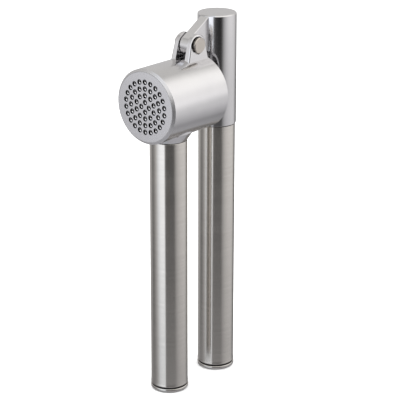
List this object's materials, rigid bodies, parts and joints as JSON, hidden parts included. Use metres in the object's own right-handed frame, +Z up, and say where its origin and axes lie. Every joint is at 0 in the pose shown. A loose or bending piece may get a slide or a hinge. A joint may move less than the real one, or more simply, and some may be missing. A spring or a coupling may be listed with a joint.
{
  "type": "garlic press",
  "caption": "Garlic press with a round perforated chamber, a hinged rear lever that drives a plunger, and straight tubular brushed metal handles.",
  "frame": {"origin": "middle of the whole closed press in plan, on the ground under the end caps", "axes": "+Z up along the handles, -Y out of the perforated face, +X to the right of that face"},
  "size_m": [0.036, 0.0608, 0.1836],
  "materials": {
    "casting_satin": "satin plated casting",
    "sieve_satin": "fine matt, pressed",
    "tube_brushed": "brushed round the tube",
    "cap_satin": "turned satin",
    "pin_steel": "turned",
    "seal_rubber": "matt black"
  },
  "bodies": {
    "front_lever": {"press_chamber": "casting_satin", "sieve_plate": "sieve_satin", "front_handle_tube": "tube_brushed", "front_cap_seal": "seal_rubber", "front_end_cap": "cap_satin", "front_tie_rod": "pin_steel", "hinge_pin": "pin_steel", "hinge_pin_cap": "pin_steel"},
    "rear_lever": {"rear_head": "casting_satin", "rear_handle_tube": "tube_brushed", "rear_cap_seal": "seal_rubber", "rear_end_cap": "cap_satin", "rear_tie_rod": "pin_steel"},
    "plunger": {"plunger": "casting_satin", "plunger_pin": "pin_steel"}
  },
  "joints": [
    {"name": "lever_hinge", "type": "hinge", "parent": "front_lever", "child": "rear_lever", "pos_m": [0, 0.00118, 0.1719], "axis": [1, 0, 0], "range_deg": [0, 90]},
    {"name": "plunger_pivot", "type": "hinge", "parent": "rear_lever", "child": "plunger", "pos_m": [0, -0.01432, 0.1406], "axis": [1, 0, 0], "range_deg": [-90, 0]}
  ],
  "couplings": [
    {"joint": "plunger_pivot", "follows": "lever_hinge", "ratio": -1}
  ]
}
